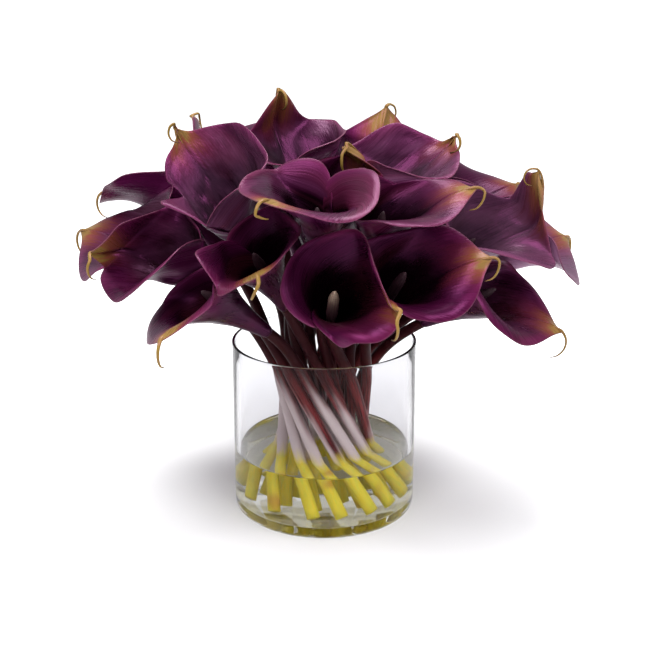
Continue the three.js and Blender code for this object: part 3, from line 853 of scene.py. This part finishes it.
def spathe_finish():
    """Satin skin: plum within, near black in the throat partly as painted shade, mauve without, flushed
    crimson, with an ochre tip and a pale margin partly painted as a highlight.
    """
    material, wire = new_finish("satin_spathe")
    across, share, inside = wire.attribute("blade").parts()
    from_tip, from_rim, seed = wire.attribute("place").parts()
    warm, pale, crinkle = wire.attribute("looks").parts()
    along = share * BLADE_SPAN
    veins = wire.vector(across * 0.55, along * 0.035, seed).noise(1, 3, 0.6)
    clouds = wire.vector(across * 0.05, along * 0.035, seed).noise(1, 3, 0.6)
    grain = wire.node("TexCoord", output="Object").noise(900, 2)
    within = share + (clouds - 0.5) * 0.25
    # Deep in the throat the plum is near black: partly its own dark and partly painted shade inside the
    # funnel.
    within = within.colours((0.3, PLUM_DARK), (0.6, PLUM_DARK), (0.88, PLUM), (1.0, PLUM_RED))
    without = share + (clouds - 0.5) * 0.4
    without = without.colours((0.0, MAUVE_DARK), (0.5, MAUVE_DARK), (0.85, MAUVE), (1.0, MAUVE))
    colour = inside.blend(without, within)
    flush = wire.vector(across * 0.02, along * 0.02, seed + FLUSH_SEED).noise(1, 2)
    flush = flush.eased(0.48, 0.62) * (warm * 0.8 + 0.2) * (1 - inside * 0.6)
    colour = (flush * share).blend(colour, (*CRIMSON, 1))
    tint = (pale + (clouds - 0.5) * 0.8).eased(0.2, 1.1, 0.0, 0.8)
    colour = (tint * (1 - inside * 0.7)).blend(colour, (*MAUVE_PALE, 1))
    reach = from_tip + (veins - 0.5) * 22 + (clouds - 0.5) * 20 - warm * WARM_REACH
    tip = (reach * (1 / TIP_SPAN)).colours((0.0, TAN), (0.04, TAN), (0.16, RUST), (0.36, CRIMSON))
    colour = reach.eased(4, 40, 0.9, 0.0).blend(colour, tip)
    # The pale margin is partly the rim's own colour and partly a painted highlight where the rolled edge
    # catches the light.
    margin = from_rim.eased(0.1, 0.7, 0.7, 0.0)
    colour = margin.blend(colour, (*MARGIN_PINK, 1))
    hook = (from_tip * (-1 / TAIL_SPAN)).colours((0.0, TAIL_OLIVE), (0.5, TAIL_OLIVE), (0.85, TAIL_BROWN))
    colour = from_tip.eased(-3, 4, 1.0, 0.0).blend(colour, hook)
    shade = (veins - 0.5) * 0.9 + (clouds - 0.5) * 0.5 + 1
    colour = wire.node("VectorMath", {"operation": "SCALE"}, {0: colour, "Scale": shade})
    wrinkles = wire.vector(across * 0.16, along * 0.10, seed).noise(1, 2) * crinkle
    height = veins * 0.35 + wrinkles * 1.1 + grain * 0.08
    sockets = {
        "Base Color": colour,
        "Roughness": (veins * 0.5 + clouds * 0.5).eased(0.3, 0.7, 0.23, 0.36),
        "Specular IOR Level": 0.30,
        "Specular Tint": (1.0, 0.2, 0.7, 1),
        "Normal": wire.bump(height, 0.8, 0.8),
    }
    surface = wire.node("BsdfPrincipled", {}, sockets)
    wire.node("OutputMaterial", {}, {"Surface": surface})
    return material


CREASE = 2.4
CREASE_WIDTH = 5.5
CRINKLE = 1.3
FOOT_THICKNESS = 1.0
RIM_THICKNESS = 0.85
COLLAR_RADII = np.array([4.0, 4.6, 5.2])
COLLAR_HEIGHTS = np.array([-7.5, -5, -2.2])
COLLAR_GIVE = 0.7
COLLAR_EDGE = 0.3
TIP_ROUNDNESS = 1.6
FAR_FROM_RIM = 20
ROUNDING = [(0.3, 0.8), (0.5, 0.0)]
satin_spathe = spathe_finish()
u = columns_at(np.linspace(-1, 1, COLUMNS))
s = rows_at(np.linspace(0, 1, ROWS))
collar_rows = len(COLLAR_RADII)
all_s = np.concatenate([np.zeros(collar_rows), s])
reach = [RIM_THICKNESS * ROUNDING[0][0], RIM_THICKNESS * (ROUNDING[1][0] - ROUNDING[0][0])]
for number, flower in enumerate(lilies):
    theta, rho, z = rolled_blade(flower, u, s)
    bend = bend_of_blade(flower)
    grid = in_head(flower.head, theta, rho, z) + bend
    rib = CREASE * np.exp(-np.abs(rho * theta) / CREASE_WIDTH) * np.clip(s * 3 - 1, 0, 1)
    folds = np.sin(5.3 * theta + 9 * s + number) * np.sin(17 * s - 2.1 * theta) * np.sin(np.pi * s) ** 2
    grid += surface_normals(grid) * (rib + CRINKLE * flower.crinkle * folds)[..., None]
    foot_theta = np.repeat(theta[:, :1], collar_rows, 1)
    lap = LAP_RISE * LAP_RISE_AT_FOOT * u[:, None] ** 3
    foot = in_head(flower.head, foot_theta, COLLAR_RADII + lap, COLLAR_HEIGHTS + 0 * lap)
    foot += bend[:, :1] * np.linspace(0, COLLAR_GIVE, collar_rows)[:, None]
    grid = np.concatenate([foot, grid], 1)
    across = np.concatenate([foot_theta * HEAD_FOOT_RADIUS, rho * theta], 1)
    from_rim = blade_length(np.pi * u)[:, None] * (1 - all_s) * flower.size
    from_tip = np.hypot(TIP_ROUNDNESS * across, blade_length(0.0) * flower.size * (1 - all_s))
    thickness = FOOT_THICKNESS + (RIM_THICKNESS - FOOT_THICKNESS) * all_s + 0 * across
    thickness[:, 0] *= COLLAR_EDGE
    layers = np.stack([across, all_s + 0 * across, from_tip, from_rim, thickness], -1)
    for _, share in ROUNDING:
        layers = np.pad(layers, ((1, 1), (0, 1), (0, 0)), "edge")
        layers[0, :, 4] = layers[-1, :, 4] = layers[:, -1, 4] = RIM_THICKNESS * share
    grid = widened(grid, reach)
    points, faces, inside = sheet(grid, layers[..., 4])
    across, share, from_tip, from_rim = (np.tile(layers[..., k].ravel(), 2) for k in range(4))
    tail_points, tail_faces, tail_tip = tail(flower, grid[grid.shape[0] // 2])
    faces += [tuple(k + len(points) for k in face) for face in tail_faces]
    points = np.vstack([points, tail_points])
    of_tail = np.ones(len(tail_points))
    blade = np.stack([across, share, inside], 1)
    blade = np.vstack([blade, np.stack([0 * of_tail, of_tail, of_tail / 2], 1)])
    seed = SEED_STEP * number
    place = np.stack([from_tip, from_rim, seed + 0 * from_tip], 1)
    place = np.vstack([place, np.stack([tail_tip, FAR_FROM_RIM * of_tail, seed * of_tail], 1)])
    looks = np.tile([flower.warm, flower.pale, flower.crinkle], (len(points), 1))
    node = "spathe_" + flower.name
    layers = {"blade": blade, "place": place, "looks": looks}
    new_piece("satin_" + node, points, faces, satin_spathe, "spathe", node, **layers)


# The vase stands on a plain white table under soft lamps, and is seen from a little above its rim. Away
# from the vase the table is as white as the wall behind it.
FLOOR_SIZE = 60.0
FLOOR_WHITE = (0.9, 0.9, 0.9, 1)
FLOOR_LIFT = 0.75
LIFT_FROM = 0.1
LIFT_TO = 0.5
WORLD_LIGHT = 0.47
WORLD_WHITE = 1.1
SKY = (0.94, 0.935, 1.0, 1)
THROUGH_GLASS = 0.9

floor_mesh = bpy.data.meshes.new("table")
corners = [(x * FLOOR_SIZE / 2, y * FLOOR_SIZE / 2, 0) for x, y in ((-1, -1), (1, -1), (1, 1), (-1, 1))]
floor_mesh.from_pydata(corners, [], [(0, 1, 2, 3)])
table = bpy.data.objects.new("table", floor_mesh)
table_finish, wire = new_finish("white_table")
place = wire.node("TexCoord", output="Object")
away = wire.node("VectorMath", {"operation": "LENGTH"}, {0: place}, 1)
seen = wire.node("LightPath", output="Is Camera Ray")
lift = away.eased(LIFT_FROM, LIFT_TO, 0, FLOOR_LIFT) * seen
sockets = {
    "Base Color": FLOOR_WHITE,
    "Roughness": place.noise(40, 2).eased(0.3, 0.7, 0.55, 0.7),
    "Specular IOR Level": 0.0,
    "Emission Color": lift.blend((0, 0, 0, 1), (1, 1, 1, 1)),
    "Emission Strength": 1.0,
}
matt = wire.node("BsdfPrincipled", {}, sockets)
wire.node("OutputMaterial", {}, {"Surface": matt})
floor_mesh.materials.append(table_finish)
bpy.context.scene.collection.objects.link(table)


def soft_box(name, place, aim, width, height, power):
    """A broad lamp at a place in metres, facing its aim."""
    lamp = bpy.data.lights.new(name, "AREA")
    lamp.shape = "RECTANGLE"
    lamp.size = width
    lamp.size_y = height
    lamp.energy = power
    box = bpy.data.objects.new(name, lamp)
    box.location = place
    box.rotation_euler = (Vector(aim) - Vector(place)).to_track_quat("-Z", "Y").to_euler()
    bpy.context.scene.collection.objects.link(box)


BUNCH = (0, 0, 0.2)
soft_box("key_light", (-0.5, -0.6, 1.35), BUNCH, 0.8, 0.6, 16)
soft_box("fill_light", (0.8, -0.6, 1.15), BUNCH, 0.6, 0.5, 10)
soft_box("top_light", (0.0, 0.5, 1.5), BUNCH, 1.0, 0.5, 18)

world = bpy.data.worlds.new("white_studio")
world.use_nodes = True
world.node_tree.nodes.clear()
wire = Wire(world.node_tree)
seen = wire.node("LightPath", output="Is Camera Ray") * (WORLD_WHITE - WORLD_LIGHT)
glassy = wire.node("LightPath", output="Is Transmission Ray") * (THROUGH_GLASS - WORLD_LIGHT)
strength = seen + glassy + WORLD_LIGHT
sky = wire.node("Background", {}, {"Color": SKY, "Strength": strength})
wire.node("OutputWorld", {}, {"Surface": sky})
bpy.context.scene.world = world
bpy.context.scene.view_settings.view_transform = "Standard"
bpy.context.scene.cycles.max_bounces = 32
bpy.context.scene.cycles.transmission_bounces = 32
bpy.context.scene.cycles.transparent_max_bounces = 16

CAMERA_PLACE = (0.0032, -0.94856, 0.46266)
CAMERA_TILT = 72.07
LENS = 66.45
lens = bpy.data.cameras.new("camera")
lens.lens = LENS
lens.sensor_width = 36
camera = bpy.data.objects.new("camera", lens)
camera.location = CAMERA_PLACE
camera.rotation_euler = (np.radians(CAMERA_TILT), 0, 0)
bpy.context.scene.collection.objects.link(camera)
bpy.context.scene.camera = camera
